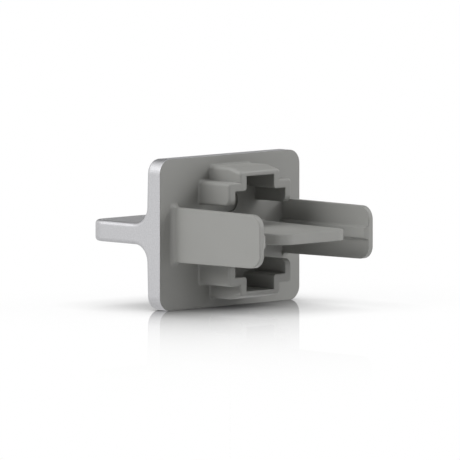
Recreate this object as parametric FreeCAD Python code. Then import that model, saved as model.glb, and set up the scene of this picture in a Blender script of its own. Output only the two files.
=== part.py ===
"""Ethernet dust cover: a one-piece moulded plug that closes an empty 8-way modular jack.

Frame: X across the jack, Z up, -Y into the jack. The origin is the centre of the flange's
front face, the face that stops against the jack's bezel. All sizes are in millimetres.
"""
import FreeCAD
import Part
import math
import os

from FreeCAD import Vector

# Plug section: what has to fit the jack's opening
PLUG_WIDTH = 11.5           # over the outer faces of the two side arms
PLUG_HEIGHT = 9.42          # over the tops of the two keys

# Flange: the plate that stops against the jack
FLANGE_SIDE = 1.25          # overhang past the arms, left and right
FLANGE_END = 0.66           # overhang past the keys, above and below
FLANGE_RIM = 1.33           # thickness at the upper and lower edges
FLANGE_BACK_SLOPE = 1.6     # degrees by which the back swells towards the pull tab
FLANGE_CORNER = 1.0         # corner radius seen from the front

# Pull tab: as wide as the flange, and flush with its sides
TAB_LENGTH = 5.91           # from the flange's rim to the tip
TAB_THICKNESS = 1.52
TAB_ROOT = 1.25             # radius where the tab runs out into the flange
TAB_CORNER = 1.25           # radius of the tip's corners seen from above
GRIP_EDGE = 0.28            # radius of every edge behind the flange's front face

# Side arms: springy blades that grip the jack's side walls
ARM_LENGTH = 8.64
ARM_THICKNESS = 0.5
ARM_HEIGHT = 3.89           # at the flange
ARM_DRAFT = 0.45            # degrees a side, so that the arm narrows towards its tip
ARM_TIP = 0.95              # radius of the tip's two corners
ARM_FLARE = 0.36            # radius at the foot, outside, above and below
LEAD_LENGTH = 1.35          # last stretch of the outer face, which leans inwards
LEAD_DEPTH = 0.06           # how far it leans in at the tip
ARM_EDGE = 0.05             # radius round the outer face

# Ribs along the inner faces of the arms
RIB_RISE = 0.27
RIB_CREST = 0.74            # height of the flat crest
RIB_BASE = 1.0              # height where the rib leaves the arm
RIB_SETBACK = 0.14          # how far the crest stops short of the arm's tip, to which it slopes down

# Centre blade: passes between the jack's upper and lower contact rows
BLADE_LENGTH = 8.62
BLADE_WIDTH = 6.72
BLADE_ROOT = 0.98           # thickness at the flange
BLADE_TIP = 0.74            # thickness at the front edge
BLADE_CORNER = 1.1          # radius of the front corners seen from above
BLADE_EDGE = 0.05           # radius round the upper and lower faces

# Keys: stepped hollow bosses that fill the jack's latch keyway, alike above and below
KEY_DEPTH = 3.04
KEY_NARROW = 4.0            # width of the outer step
KEY_WIDE = 6.26             # width of the inner step
KEY_STEP = 1.03             # from the key's top down to its shoulder
KEY_SKIRT = 1.64            # from the shoulder down to the free ends of the walls
KEY_WALL = 0.62
KEY_RAMP_LENGTH = 1.13      # front stretch of the top, which leads the key in
KEY_RAMP_DROP = 0.3
KEY_CREST = 1.0             # radius where the top turns down into the ramp
KEY_EDGE = 0.26             # radius of the outer lengthwise edges
KEY_STEP_EDGE = 0.22        # radius of the inner step's edge
KEY_END = 0.45              # radius of the free ends' front corners
KEY_FRONT = 0.1             # chamfer round the outside of the front face

# Feet: radius where the keys and the blade leave the flange
FOOT = 0.14

# Ejector pin marks: shallow round recesses in the flange's front face
PIN_RADIUS = 0.8
PIN_DEPTH = 0.16
PIN_OFFSET = 1.6            # from the blade's face to the mark's centre

# Sizes that follow from those above
FLANGE_WIDTH = PLUG_WIDTH + 2 * FLANGE_SIDE
FLANGE_HEIGHT = PLUG_HEIGHT + 2 * FLANGE_END
KEY_TOP = PLUG_HEIGHT / 2
KEY_SHOULDER = KEY_TOP - KEY_STEP
KEY_FREE_END = KEY_SHOULDER - KEY_SKIRT
ARM_INNER = PLUG_WIDTH / 2 - ARM_THICKNESS
TAB_TIP_Y = FLANGE_RIM + TAB_LENGTH
PIN_HEIGHT = BLADE_ROOT / 2 + PIN_OFFSET

TOUCH = 1e-4                # tolerance when faces and edges are picked by their place
NODE = "dust_cover"


def from_side(y, z):
    """Point of a side view, on the plane X = 0."""
    return Vector(0, y, z)


def from_front(x, z):
    """Point of a front view, on the plane Y = 0."""
    return Vector(x, 0, z)


def from_above(x, y):
    """Point of a plan view, on the plane Z = 0."""
    return Vector(x, y, 0)


def rounded_face(view, corners):
    """Face through corners (u, v, radius), with each corner rounded by its own radius."""
    points = [view(u, v) for u, v, _ in corners]
    ends = []
    arcs = []
    for i, (_, _, radius) in enumerate(corners):
        here = points[i]
        back = (points[i - 1] - here).normalize()
        ahead = (points[(i + 1) % len(points)] - here).normalize()
        half_angle = back.getAngle(ahead) / 2
        run = radius / math.tan(half_angle)
        start = here + back * run
        end = here + ahead * run
        ends.append((start, end))
        if radius > 0:
            to_centre = (back + ahead).normalize()
            middle = here + to_centre * (radius / math.sin(half_angle) - radius)
            arcs.append(Part.Arc(start, middle, end).toShape())
    lines = []
    for i, (_, end) in enumerate(ends):
        following = ends[(i + 1) % len(ends)][0]
        if end.distanceToPoint(following) > TOUCH:
            lines.append(Part.makeLine(end, following))
    edges = Part.__sortEdges__(lines + arcs)
    return Part.Face(Part.Wire(edges))


def prism(face, low, high):
    """Solid swept by a face along its view's normal, from low to high on that axis."""
    normal = face.normalAt(0, 0)
    axis = Vector(abs(normal.x), abs(normal.y), abs(normal.z))
    moved = face.translated(axis * low)
    return moved.extrude(axis * (high - low))


def edges_at(shape, wanted):
    """Edges whose every sampled point passes the test."""
    picked = []
    for edge in shape.Edges:
        samples = edge.discretize(5)
        if all(wanted(p) for p in samples):
            picked.append(edge)
    return picked


def mirrored_pair(shape, normal):
    """A shape and its mirror image in the plane through the origin with that normal."""
    return [shape, shape.mirror(Vector(0, 0, 0), normal)]


def grip():
    """Flange and pull tab: one T section, trimmed to its front and plan outlines."""
    half_width = FLANGE_WIDTH / 2
    half_height = FLANGE_HEIGHT / 2
    half_tab = TAB_THICKNESS / 2
    swell = math.tan(math.radians(FLANGE_BACK_SLOPE)) * (half_height - half_tab)
    section = rounded_face(from_side, [
        (0, half_height, 0),
        (FLANGE_RIM, half_height, 0),
        (FLANGE_RIM + swell, half_tab, TAB_ROOT),
        (TAB_TIP_Y, half_tab, 0),
        (TAB_TIP_Y, -half_tab, 0),
        (FLANGE_RIM + swell, -half_tab, TAB_ROOT),
        (FLANGE_RIM, -half_height, 0),
        (0, -half_height, 0),
    ])
    front = rounded_face(from_front, [
        (-half_width, -half_height, FLANGE_CORNER),
        (half_width, -half_height, FLANGE_CORNER),
        (half_width, half_height, FLANGE_CORNER),
        (-half_width, half_height, FLANGE_CORNER),
    ])
    plan = rounded_face(from_above, [
        (-half_width, 0, 0),
        (half_width, 0, 0),
        (half_width, TAB_TIP_Y, TAB_CORNER),
        (-half_width, TAB_TIP_Y, TAB_CORNER),
    ])
    body = prism(section, -half_width, half_width)
    body = body.common(prism(front, 0, TAB_TIP_Y))
    body = body.common(prism(plan, -half_height, half_height))
    return body.makeFillet(GRIP_EDGE, grip_edges(body))


def grip_edges(body):
    """Edges of the T behind its front face that are sharp, and so get rounded."""
    picked = []
    for edge in body.Edges:
        if edge.BoundBox.YMin < TOUCH:
            continue
        faces = body.ancestorsOfType(edge, Part.Face)
        middle = edge.valueAt((edge.FirstParameter + edge.LastParameter) / 2)
        normals = [face.normalAt(*face.Surface.parameter(middle)) for face in faces]
        if normals[0].getAngle(normals[1]) > math.radians(FLANGE_BACK_SLOPE) * 2:
            picked.append(edge)
    return picked


def arm():
    """Right-hand side arm with its lead-in and its rib."""
    outer = PLUG_WIDTH / 2
    plan = rounded_face(from_above, [
        (ARM_INNER, 0, 0),
        (outer, 0, 0),
        (outer, LEAD_LENGTH - ARM_LENGTH, 0),
        (outer - LEAD_DEPTH, -ARM_LENGTH, 0),
        (ARM_INNER, -ARM_LENGTH, 0),
    ])
    half_root = ARM_HEIGHT / 2
    half_tip = half_root - math.tan(math.radians(ARM_DRAFT)) * ARM_LENGTH
    side = rounded_face(from_side, [
        (0, half_root, 0),
        (0, -half_root, 0),
        (-ARM_LENGTH, -half_tip, ARM_TIP),
        (-ARM_LENGTH, half_tip, ARM_TIP),
    ])
    blank = prism(plan, -half_root, half_root).common(prism(side, ARM_INNER, outer))
    blank = blank.makeFillet(ARM_EDGE, edges_at(blank, on_arm_rim))
    return blank.fuse(rib())


def on_arm_rim(p):
    """True round the right arm's outer face: along its long edges and round its tip."""
    half_height = ARM_HEIGHT / 2 - math.tan(math.radians(ARM_DRAFT)) * abs(p.y)
    on_long_edge = abs(abs(p.z) - half_height) < TOUCH
    round_tip = p.y < ARM_TIP - ARM_LENGTH
    return p.x > ARM_INNER + TOUCH and (on_long_edge or round_tip)


def rib():
    """Low trapezoid rib along the middle of the right arm's inner face, sloped at its end."""
    crest = RIB_CREST / 2
    base = RIB_BASE / 2
    top = ARM_INNER - RIB_RISE
    section = rounded_face(from_front, [
        (ARM_INNER, base, 0),
        (top, crest, 0),
        (top, -crest, 0),
        (ARM_INNER, -base, 0),
    ])
    plan = rounded_face(from_above, [
        (ARM_INNER, 0, 0),
        (ARM_INNER, -ARM_LENGTH, 0),
        (top, RIB_SETBACK - ARM_LENGTH, 0),
        (top, 0, 0),
    ])
    return prism(section, -ARM_LENGTH, 0).common(prism(plan, -base, base))


def blade():
    """Centre blade: tapered in thickness, with rounded front corners."""
    half = BLADE_WIDTH / 2
    plan = rounded_face(from_above, [
        (-half, 0, 0),
        (half, 0, 0),
        (half, -BLADE_LENGTH, BLADE_CORNER),
        (-half, -BLADE_LENGTH, BLADE_CORNER),
    ])
    side = rounded_face(from_side, [
        (0, BLADE_ROOT / 2, 0),
        (0, -BLADE_ROOT / 2, 0),
        (-BLADE_LENGTH, -BLADE_TIP / 2, 0),
        (-BLADE_LENGTH, BLADE_TIP / 2, 0),
    ])
    solid = prism(plan, -BLADE_ROOT / 2, BLADE_ROOT / 2).common(prism(side, -half, half))
    rim = [edge for edge in solid.Edges if is_blade_rim(edge)]
    return solid.makeFillet(BLADE_EDGE, rim)


def is_blade_rim(edge):
    """True for the edges round the blade's upper and lower faces, clear of the flange."""
    box = edge.BoundBox
    return box.YMin < -TOUCH and (box.ZMin > TOUCH or box.ZMax < -TOUCH)


def key():
    """Upper key: a stepped wall open to the front and towards the blade."""
    wide = KEY_WIDE / 2
    narrow = KEY_NARROW / 2
    inner_wide = wide - KEY_WALL
    inner_narrow = narrow - KEY_WALL
    right_half = [
        (narrow, KEY_TOP, 0),
        (narrow, KEY_SHOULDER, 0),
        (wide, KEY_SHOULDER, 0),
        (wide, KEY_FREE_END, 0),
        (inner_wide, KEY_FREE_END, 0),
        (inner_wide, KEY_SHOULDER - KEY_WALL, 0),
        (inner_narrow, KEY_SHOULDER - KEY_WALL, KEY_STEP_EDGE),
        (inner_narrow, KEY_TOP - KEY_WALL, 0),
    ]
    left_half = [(-x, z, radius) for x, z, radius in reversed(right_half)]
    front = rounded_face(from_front, right_half + left_half)
    side = rounded_face(from_side, [
        (0, KEY_FREE_END, 0),
        (0, KEY_TOP, 0),
        (KEY_RAMP_LENGTH - KEY_DEPTH, KEY_TOP, KEY_CREST),
        (-KEY_DEPTH, KEY_TOP - KEY_RAMP_DROP, 0),
        (-KEY_DEPTH, KEY_FREE_END, KEY_END),
    ])
    solid = prism(front, -KEY_DEPTH, 0).common(prism(side, -wide, wide))
    solid = solid.makeFillet(KEY_EDGE, edges_at(solid, on_key_ridge))
    return solid.makeChamfer(KEY_FRONT, edges_at(solid, on_key_front))


def on_key_ridge(p):
    """True along the outer lengthwise edges: beside the top and its ramp, and at the shoulders."""
    beside_top = abs(abs(p.x) - KEY_NARROW / 2) < TOUCH and p.z > KEY_TOP - KEY_RAMP_DROP - TOUCH
    at_shoulder = abs(abs(p.x) - KEY_WIDE / 2) < TOUCH and abs(p.z - KEY_SHOULDER) < TOUCH
    return beside_top or at_shoulder


def on_key_front(p):
    """True round the outside of the front face, from one free end over the top to the other."""
    outside_skirt = abs(p.x) > KEY_WIDE / 2 - KEY_EDGE - TOUCH
    outside_step = p.z > KEY_SHOULDER - TOUCH and abs(p.x) > KEY_NARROW / 2 - KEY_EDGE - TOUCH
    outside_top = p.z > KEY_TOP - KEY_RAMP_DROP - KEY_EDGE - TOUCH
    return abs(p.y + KEY_DEPTH) < TOUCH and (outside_skirt or outside_step or outside_top)


def pin_mark():
    """Tool for the upper ejector pin's recess."""
    return Part.makeCylinder(PIN_RADIUS, PIN_DEPTH, Vector(0, 0, PIN_HEIGHT), Vector(0, 1, 0))


def on_front_face(point):
    """True for points in the plane of the flange's front face."""
    return abs(point.y) < TOUCH


def on_arm_foot(p):
    """True where the arms leave the flange: outside, above and below."""
    outer = PLUG_WIDTH / 2
    top = ARM_HEIGHT / 2
    within = ARM_INNER - TOUCH < abs(p.x) < outer + TOUCH and abs(p.z) < top + TOUCH
    on_outline = abs(p.x) > outer - TOUCH or abs(p.z) > top - TOUCH
    return on_front_face(p) and within and on_outline


def on_key_foot(p):
    """True where the outer faces of the keys leave the flange."""
    beside = abs(p.x) > KEY_WIDE / 2 - KEY_EDGE - TOUCH
    above = abs(p.z) > KEY_SHOULDER - TOUCH and abs(p.x) > KEY_NARROW / 2 - KEY_EDGE - TOUCH
    on_top = abs(p.z) > KEY_TOP - KEY_EDGE - TOUCH
    within = abs(p.x) < KEY_WIDE / 2 + TOUCH and KEY_FREE_END - TOUCH < abs(p.z) < KEY_TOP + TOUCH
    return on_front_face(p) and within and (beside or above or on_top)


def on_blade_foot(p):
    """True where the blade leaves the flange, all round it."""
    within = abs(p.x) < BLADE_WIDTH / 2 + TOUCH and abs(p.z) < BLADE_ROOT / 2 + TOUCH
    return on_front_face(p) and within


def dust_cover():
    """The whole moulding, with its feet rounded into the flange."""
    across = Vector(1, 0, 0)
    up = Vector(0, 0, 1)
    body = grip().fuse(mirrored_pair(arm(), across)).removeSplitter()
    body = body.makeFillet(ARM_FLARE, edges_at(body, on_arm_foot))
    body = body.fuse(mirrored_pair(key(), up) + [blade()])
    feet = edges_at(body, on_key_foot) + edges_at(body, on_blade_foot)
    body = body.makeFillet(FOOT, feet)
    body = body.cut(mirrored_pair(pin_mark(), up))
    return body.removeSplitter()


def main():
    """Builds the cover and writes it as one STEP file."""
    os.makedirs("parts", exist_ok=True)
    cover = dust_cover()
    solid = cover.Solids[0]
    print("solids", len(cover.Solids), "valid", cover.isValid())
    print("volume", round(solid.Volume, 2), "mm3, centre", solid.CenterOfMass)
    print("box", cover.BoundBox)
    solid.exportStep("parts/" + NODE + ".step")


main()
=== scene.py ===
"""Ethernet dust cover: the finish of its moulding, and a studio stage at the photograph's view.

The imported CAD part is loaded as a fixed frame: X across the jack, Z up, -Y into the jack, with
the origin at the centre of the flange's front face. All lengths are in metres.
"""

import bpy
import math

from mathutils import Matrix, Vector


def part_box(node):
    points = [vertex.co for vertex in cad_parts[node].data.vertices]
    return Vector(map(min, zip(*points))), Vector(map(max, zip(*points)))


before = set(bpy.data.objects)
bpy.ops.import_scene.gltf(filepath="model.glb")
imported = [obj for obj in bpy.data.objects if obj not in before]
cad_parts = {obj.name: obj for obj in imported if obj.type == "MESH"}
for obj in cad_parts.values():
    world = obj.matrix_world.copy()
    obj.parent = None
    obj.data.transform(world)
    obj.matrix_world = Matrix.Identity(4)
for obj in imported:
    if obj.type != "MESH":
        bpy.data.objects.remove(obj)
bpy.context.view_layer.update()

bl_info = {
    "name": "Ethernet dust cover",
    "version": (1, 0, 0),
    "blender": (4, 5, 0),
    "location": "View3D > Sidebar > Dust cover",
    "description": "Finishes the dust cover's moulding and sets it on a studio stage",
    "category": "Object",
}

MM = 0.001
COVER = "dust_cover"

# Moulding: CLOUD_DEPTH and FLAKE_DEPTH vary the colour, and GRAIN_GLOSS the roughness
ABS_IOR = 1.54
CLOUD_SIZE = 3 * MM
CLOUD_DETAIL = 2
CLOUD_DEPTH = 0.03
FLAKE_DEPTH = 0.25
GRAIN_DETAIL = 3
GRAIN_RAGGEDNESS = 0.6
GRAIN_GLOSS = 0.08
GRAIN_DEPTH = 0.002 * MM
EDGE_RADIUS = 0.12 * MM
LACQUER_EDGE = 0.01 * MM
MARK_STRETCH = (1, 10, 1)
MARK_REACH = 4 * MM

# Floor: it is WHITE_SHARE plain white beside the part and wholly so from WHITE_REACH on
FLOOR_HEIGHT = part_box(COVER)[0].z
FLOOR_SIZE = 4
FOOT_DEPTH = 1.33 * MM
WHITE_SHARE = 0.88
WHITE_REACH = 20 * MM
SHADE_DEPTH = 0.85
SHADE_REACH = 5.8 * MM
POLISH = 0.92
POLISH_REACH = 9.5 * MM

# Softboxes and flag: azimuth and elevation in degrees, and width
SOFTBOX_DISTANCE = 0.4
SOFTBOXES = {
    "left": (104, 34, 0.27),
    "key": (-45, 30, 0.15),
    "fill": (-45, 20, 0.35),
    "top": (-90, 70, 0.3),
}
# So small and bright that it would glare on the grip, and so left out of reflections
GLARING = ("key",)
FLAG_DISTANCE = 0.3
FLAG = (-135, 41, 0.31)
FLAG_COLOUR = "#101010"


def linear(hex_colour):
    """Linear red, green and blue of an sRGB hex colour."""
    channels = [int(hex_colour[i:i + 2], 16) / 255 for i in (1, 3, 5)]
    return tuple(c / 12.92 if c <= 0.04045 else ((c + 0.055) / 1.055) ** 2.4 for c in channels)


def add_node(tree, kind, settings=None, inputs=None):
    """Adds a node, sets its properties, and fills its inputs with values or links."""
    node = tree.nodes.new(kind)
    for name, value in (settings or {}).items():
        setattr(node, name, value)
    for name, value in (inputs or {}).items():
        if isinstance(value, bpy.types.NodeSocket):
            tree.links.new(value, node.inputs[name])
        else:
            node.inputs[name].default_value = value
    return node


def new_material(name):
    """An empty node material."""
    material = bpy.data.materials.new(name)
    material.use_nodes = True
    material.node_tree.nodes.clear()
    return material


class MouldingSettings(bpy.types.PropertyGroup):
    """Colour and surface of the moulding."""

    colour: bpy.props.FloatVectorProperty(
        name="Colour", description="Colour of the plastic", subtype="COLOR", size=3,
        default=linear("#8F8F8C"))
    roughness: bpy.props.FloatProperty(
        name="Roughness", description="How matt the plastic is", default=0.5, min=0, max=1)
    grip_colour: bpy.props.FloatVectorProperty(
        name="Grip colour", description="Colour of the grip's silver lacquer", subtype="COLOR",
        size=3, default=linear("#B6B6B8"))
    grip_roughness: bpy.props.FloatProperty(
        name="Grip roughness", description="How matt the lacquer is", default=0.48, min=0, max=1)
    grain: bpy.props.FloatProperty(
        name="Grain", description="Size of the mould's sparked grain", unit="LENGTH",
        default=0.1 * MM)


class StageSettings(bpy.types.PropertyGroup):
    """Camera, floor and light; a lamp's level is the tone it gives to a white face turned to it."""

    azimuth: bpy.props.FloatProperty(
        name="Azimuth", description="How far left of the jack's axis the camera stands",
        subtype="ANGLE", default=math.radians(45))
    elevation: bpy.props.FloatProperty(
        name="Elevation", description="How far down the camera looks", subtype="ANGLE",
        default=math.radians(5))
    distance: bpy.props.FloatProperty(
        name="Distance", description="From the camera to the flange", unit="LENGTH", default=0.97)
    view_width: bpy.props.FloatProperty(
        name="View width", description="Width of the view at the flange", unit="LENGTH",
        default=32.65 * MM)
    floor_colour: bpy.props.FloatVectorProperty(
        name="Floor colour", description="Colour of the floor", subtype="COLOR", size=3,
        default=linear("#F4F4F4"))
    world: bpy.props.FloatProperty(
        name="World", description="Level of the light from all round", default=0.15)
    left: bpy.props.FloatProperty(
        name="Left lamp", description="Level of the softbox on the left", default=0.76)
    key: bpy.props.FloatProperty(
        name="Key lamp", description="Level of the small softbox on the right", default=0.29)
    fill: bpy.props.FloatProperty(
        name="Fill lamp", description="Level of the large softbox on the right", default=0.23)
    top: bpy.props.FloatProperty(
        name="Top lamp", description="Level of the softbox overhead", default=0.45)


def moulded_abs(settings):
    """Matt grey ABS from a sparked mould, with satin silver lacquer on the grip behind the flange."""
    material = new_material("moulded_abs")
    tree = material.node_tree
    place = add_node(tree, "ShaderNodeTexCoord").outputs["Object"]
    # Grip: what lies behind the flange's front face, apart from the floors of the ejector marks,
    # which alone stay near the origin when Y is stretched
    along = add_node(tree, "ShaderNodeSeparateXYZ", inputs={"Vector": place}).outputs["Y"]
    behind = add_node(tree, "ShaderNodeMath", {"operation": "GREATER_THAN"}, {
        0: along, 1: LACQUER_EDGE}).outputs[0]
    stretched = add_node(tree, "ShaderNodeVectorMath", {"operation": "MULTIPLY"}, {
        0: place, 1: MARK_STRETCH}).outputs[0]
    from_centre = add_node(tree, "ShaderNodeVectorMath", {"operation": "LENGTH"}, {
        0: stretched}).outputs["Value"]
    past_marks = add_node(tree, "ShaderNodeMath", {"operation": "GREATER_THAN"}, {
        0: from_centre, 1: MARK_REACH}).outputs[0]
    grip = add_node(tree, "ShaderNodeMath", {"operation": "MULTIPLY"}, {
        0: behind, 1: past_marks}).outputs[0]
    # Pigment carried along by the melt: clouds so faint that the eye takes them for plain grey
    clouds = add_node(tree, "ShaderNodeTexNoise", inputs={
        "Vector": place, "Scale": 1 / CLOUD_SIZE, "Detail": CLOUD_DETAIL}).outputs["Fac"]
    shade = add_node(tree, "ShaderNodeMapRange", inputs={
        "Value": clouds, "To Min": 1 - CLOUD_DEPTH, "To Max": 1 + CLOUD_DEPTH}).outputs["Result"]
    tint = add_node(tree, "ShaderNodeHueSaturation", inputs={
        "Color": (*settings.colour, 1), "Value": shade}).outputs["Color"]
    # Sparked grain: pits that scatter the highlights, drawn twice as coarse so that they show
    grain = add_node(tree, "ShaderNodeTexNoise", inputs={
        "Vector": place,
        "Scale": 1 / settings.grain,
        "Detail": GRAIN_DETAIL,
        "Roughness": GRAIN_RAGGEDNESS}).outputs["Fac"]
    # Aluminium flake in the lacquer: a fine sparkle that lies in the same pits
    sparkle = add_node(tree, "ShaderNodeMapRange", inputs={
        "Value": grain, "To Min": 1 - FLAKE_DEPTH, "To Max": 1 + FLAKE_DEPTH}).outputs["Result"]
    silver = add_node(tree, "ShaderNodeHueSaturation", inputs={
        "Color": (*settings.grip_colour, 1), "Value": sparkle}).outputs["Color"]
    colour = add_node(tree, "ShaderNodeMixRGB", inputs={
        "Fac": grip, "Color1": tint, "Color2": silver}).outputs["Color"]
    matt = add_node(tree, "ShaderNodeMapRange", inputs={
        "Value": grain,
        "To Min": settings.roughness - GRAIN_GLOSS,
        "To Max": settings.roughness + GRAIN_GLOSS}).outputs["Result"]
    satin = add_node(tree, "ShaderNodeMapRange", inputs={
        "Value": grain,
        "To Min": settings.grip_roughness - GRAIN_GLOSS,
        "To Max": settings.grip_roughness + GRAIN_GLOSS}).outputs["Result"]
    gloss = add_node(tree, "ShaderNodeMix", {"data_type": "FLOAT"}, {
        0: grip, 2: matt, 3: satin}).outputs[0]
    # Polished mould corners: every edge comes out slightly round, and catches a line of light
    edges = add_node(tree, "ShaderNodeBevel", inputs={"Radius": EDGE_RADIUS}).outputs["Normal"]
    pits = add_node(tree, "ShaderNodeBump", inputs={
        "Normal": edges, "Height": grain, "Distance": GRAIN_DEPTH}).outputs["Normal"]
    shader = add_node(tree, "ShaderNodeBsdfPrincipled", inputs={
        "Base Color": colour,
        "Metallic": grip,
        "Roughness": gloss,
        "Normal": pits,
        "IOR": ABS_IOR,
    })
    add_node(tree, "ShaderNodeOutputMaterial", inputs={"Surface": shader.outputs["BSDF"]})
    return material


class DUSTCOVER_OT_moulding(bpy.types.Operator):
    """Gives the moulding its finish"""

    bl_idname = "dustcover.moulding"
    bl_label = "Moulding"

    def execute(self, context):
        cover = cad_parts[COVER]
        cover.material_slots[0].material = moulded_abs(context.scene.dustcover_moulding)
        return {"FINISHED"}


def direction(azimuth, elevation):
    """Unit vector from the flange; azimuth is counted from the front to the left."""
    return Vector((
        -math.sin(azimuth) * math.cos(elevation),
        -math.cos(azimuth) * math.cos(elevation),
        math.sin(elevation),
    ))


def aim(thing):
    """Turns a softbox, the flag or the camera to look at the flange."""
    thing.rotation_euler = (-thing.location).to_track_quat("-Z", "Y").to_euler()


def black_felt():
    """Black felt: matt, and so dark that it shows as shade, but plain white in the floor's mirror."""
    material = new_material("black_felt")
    tree = material.node_tree
    mirrored = add_node(tree, "ShaderNodeLightPath").outputs["Is Singular Ray"]
    felt = add_node(tree, "ShaderNodeBsdfDiffuse", inputs={"Color": (*linear(FLAG_COLOUR), 1)})
    white = add_node(tree, "ShaderNodeEmission")
    surface = add_node(tree, "ShaderNodeMixShader", inputs={
        0: mirrored, 1: felt.outputs[0], 2: white.outputs[0]})
    add_node(tree, "ShaderNodeOutputMaterial", inputs={"Surface": surface.outputs[0]})
    return material


def seen_as_white(tree):
    """1 for rays that show the background, straight or reflected, and 0 for those that light the part."""
    path = add_node(tree, "ShaderNodeLightPath")
    reflected = add_node(tree, "ShaderNodeMath", {"operation": "MAXIMUM"}, {
        0: path.outputs["Is Glossy Ray"], 1: path.outputs["Is Transmission Ray"]})
    seen = add_node(tree, "ShaderNodeMath", {"operation": "MAXIMUM"}, {
        0: path.outputs["Is Camera Ray"], 1: reflected.outputs[0]})
    unscattered = add_node(tree, "ShaderNodeMath", {"operation": "LESS_THAN"}, {
        0: path.outputs["Diffuse Depth"], 1: 1})
    return add_node(tree, "ShaderNodeMath", {"operation": "MULTIPLY"}, {
        0: seen.outputs[0], 1: unscattered.outputs[0]}).outputs[0]


def polished_acrylic(settings):
    """White acrylic sheet, polished round the part: a clear reflection that runs out to matt white."""
    material = new_material("polished_white_acrylic")
    tree = material.node_tree
    # Distance from the flange's foot, over the floor
    place = add_node(tree, "ShaderNodeTexCoord").outputs["Object"]
    half = Vector((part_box(COVER)[1].x, FOOT_DEPTH / 2, 0))
    centred = add_node(tree, "ShaderNodeVectorMath", {"operation": "SUBTRACT"}, {
        0: place, 1: (0, half.y, 0)})
    folded = add_node(tree, "ShaderNodeVectorMath", {"operation": "ABSOLUTE"}, {0: centred.outputs[0]})
    beyond = add_node(tree, "ShaderNodeVectorMath", {"operation": "SUBTRACT"}, {
        0: folded.outputs[0], 1: half})
    outside = add_node(tree, "ShaderNodeVectorMath", {"operation": "MAXIMUM"}, {
        0: beyond.outputs[0], 1: (0, 0, 0)})
    away = add_node(tree, "ShaderNodeVectorMath", {"operation": "LENGTH"}, {
        0: outside.outputs[0]}).outputs["Value"]
    # The polish falls off evenly with that distance, and only the camera sees it
    camera = add_node(tree, "ShaderNodeLightPath").outputs["Is Camera Ray"]
    reach = add_node(tree, "ShaderNodeMath", {"operation": "DIVIDE"}, {0: away, 1: POLISH_REACH})
    fall = add_node(tree, "ShaderNodeMath", {"operation": "POWER"}, {
        0: math.exp(-1), 1: reach.outputs[0]})
    strongest = add_node(tree, "ShaderNodeMath", {"operation": "MULTIPLY"}, {0: camera, 1: POLISH})
    polish = add_node(tree, "ShaderNodeMath", {"operation": "MULTIPLY"}, {
        0: fall.outputs[0], 1: strongest.outputs[0]})
    # Painted shade under the part: ambient occlusion darkens the floor's white and its mirror, as from an
    # even sky, and the camera alone sees it
    occluded = add_node(tree, "ShaderNodeAmbientOcclusion", inputs={"Distance": SHADE_REACH})
    deepest = add_node(tree, "ShaderNodeMath", {"operation": "MULTIPLY"}, {0: camera, 1: SHADE_DEPTH})
    shade = add_node(tree, "ShaderNodeMixRGB", inputs={
        "Fac": deepest.outputs[0],
        "Color1": (1, 1, 1, 1),
        "Color2": occluded.outputs["Color"]}).outputs["Color"]
    fade = add_node(tree, "ShaderNodeMapRange", {"interpolation_type": "SMOOTHSTEP"}, {
        "Value": away, "From Max": WHITE_REACH, "To Min": WHITE_SHARE})
    whiteness = add_node(tree, "ShaderNodeMath", {"operation": "MULTIPLY"}, {
        0: seen_as_white(tree), 1: fade.outputs["Result"]})
    matt = add_node(tree, "ShaderNodeBsdfDiffuse", inputs={"Color": (*settings.floor_colour, 1)})
    # The white carries the painted shade under the part
    white = add_node(tree, "ShaderNodeEmission", inputs={"Color": shade})
    sheet = add_node(tree, "ShaderNodeMixShader", inputs={
        0: whiteness.outputs[0], 1: matt.outputs[0], 2: white.outputs[0]})
    # A perfect mirror, because black_felt tells its rays apart as singular
    # The mirror's colour carries the same painted shade
    mirror = add_node(tree, "ShaderNodeBsdfGlossy", inputs={"Color": shade, "Roughness": 0})
    surface = add_node(tree, "ShaderNodeMixShader", inputs={
        0: polish.outputs[0], 1: sheet.outputs[0], 2: mirror.outputs[0]})
    add_node(tree, "ShaderNodeOutputMaterial", inputs={"Surface": surface.outputs[0]})
    return material


def studio_world(settings):
    """Even light from all round, that shows as white."""
    world = bpy.data.worlds.new("studio")
    world.use_nodes = True
    tree = world.node_tree
    tree.nodes.clear()
    strength = add_node(tree, "ShaderNodeMix", {"data_type": "FLOAT"}, {
        0: seen_as_white(tree), 2: settings.world, 3: 1.0})
    light = add_node(tree, "ShaderNodeBackground", inputs={
        "Color": (1, 1, 1, 1), "Strength": strength.outputs[0]})
    add_node(tree, "ShaderNodeOutputWorld", inputs={"Surface": light.outputs[0]})
    return world


def add_softbox(name, azimuth, elevation, size, level):
    """A softbox that looks at the flange from afar, and that the camera doesn't see."""
    towards = direction(math.radians(azimuth), math.radians(elevation))
    bpy.ops.object.light_add(type="AREA", location=towards * SOFTBOX_DISTANCE)
    softbox = bpy.context.object
    softbox.name = name
    softbox.data.size = size
    # The power at which a white face turned to the softbox shows that level
    softbox.data.energy = level * (math.pi * SOFTBOX_DISTANCE) ** 2
    softbox.visible_camera = False
    softbox.visible_glossy = name not in GLARING
    aim(softbox)


def add_flag(azimuth, elevation, size):
    """A black card that keeps light off the tops, and that only reflections show."""
    towards = direction(math.radians(azimuth), math.radians(elevation))
    bpy.ops.mesh.primitive_plane_add(size=size, location=towards * FLAG_DISTANCE)
    flag = bpy.context.object
    flag.name = "flag"
    flag.visible_camera = False
    aim(flag)
    flag.data.materials.append(black_felt())


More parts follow.
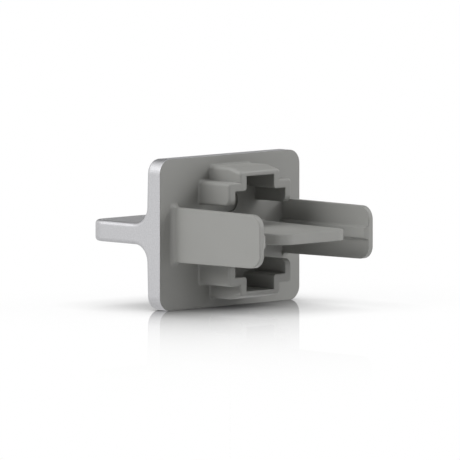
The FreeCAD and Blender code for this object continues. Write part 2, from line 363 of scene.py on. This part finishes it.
class DUSTCOVER_OT_stage(bpy.types.Operator):
    """Adds the floor, the softboxes, the flag and the camera"""

    bl_idname = "dustcover.stage"
    bl_label = "Stage"

    def execute(self, context):
        scene = context.scene
        settings = scene.dustcover_stage
        scene.view_settings.view_transform = "Standard"
        scene.world = studio_world(settings)

        bpy.ops.object.select_all(action="DESELECT")
        bpy.ops.mesh.primitive_plane_add(size=FLOOR_SIZE, location=(0, 0, FLOOR_HEIGHT))
        floor = context.object
        floor.name = "floor"
        floor.data.materials.append(polished_acrylic(settings))

        for name, (azimuth, elevation, size) in SOFTBOXES.items():
            add_softbox(name, azimuth, elevation, size, getattr(settings, name))
        add_flag(*FLAG)

        bpy.ops.object.camera_add()
        camera = context.object
        camera.location = direction(settings.azimuth, settings.elevation) * settings.distance
        aim(camera)
        camera.data.lens = camera.data.sensor_width * settings.distance / settings.view_width
        camera.data.clip_end = FLOOR_SIZE
        scene.camera = camera
        return {"FINISHED"}


class DUSTCOVER_PT_panel(bpy.types.Panel):
    """Lists the settings and the steps"""

    bl_label = "Dust cover"
    bl_idname = "DUSTCOVER_PT_panel"
    bl_space_type = "VIEW_3D"
    bl_region_type = "UI"
    bl_category = "Dust cover"

    def draw(self, context):
        for settings, step in (
            (context.scene.dustcover_moulding, DUSTCOVER_OT_moulding),
            (context.scene.dustcover_stage, DUSTCOVER_OT_stage),
        ):
            column = self.layout.column()
            for name in settings.__annotations__:
                column.prop(settings, name)
            column.operator(step.bl_idname)


CLASSES = (
    MouldingSettings,
    StageSettings,
    DUSTCOVER_OT_moulding,
    DUSTCOVER_OT_stage,
    DUSTCOVER_PT_panel,
)


def register():
    """Registers the classes, and puts the settings on the scene."""
    for entry in CLASSES:
        bpy.utils.register_class(entry)
    bpy.types.Scene.dustcover_moulding = bpy.props.PointerProperty(type=MouldingSettings)
    bpy.types.Scene.dustcover_stage = bpy.props.PointerProperty(type=StageSettings)


def unregister():
    """Takes the settings off the scene, and the classes with them."""
    del bpy.types.Scene.dustcover_stage
    del bpy.types.Scene.dustcover_moulding
    for entry in reversed(CLASSES):
        bpy.utils.unregister_class(entry)


def main():
    """Builds the scene."""
    register()
    bpy.ops.dustcover.moulding()
    bpy.ops.dustcover.stage()


if __name__ == "__main__":
    main()
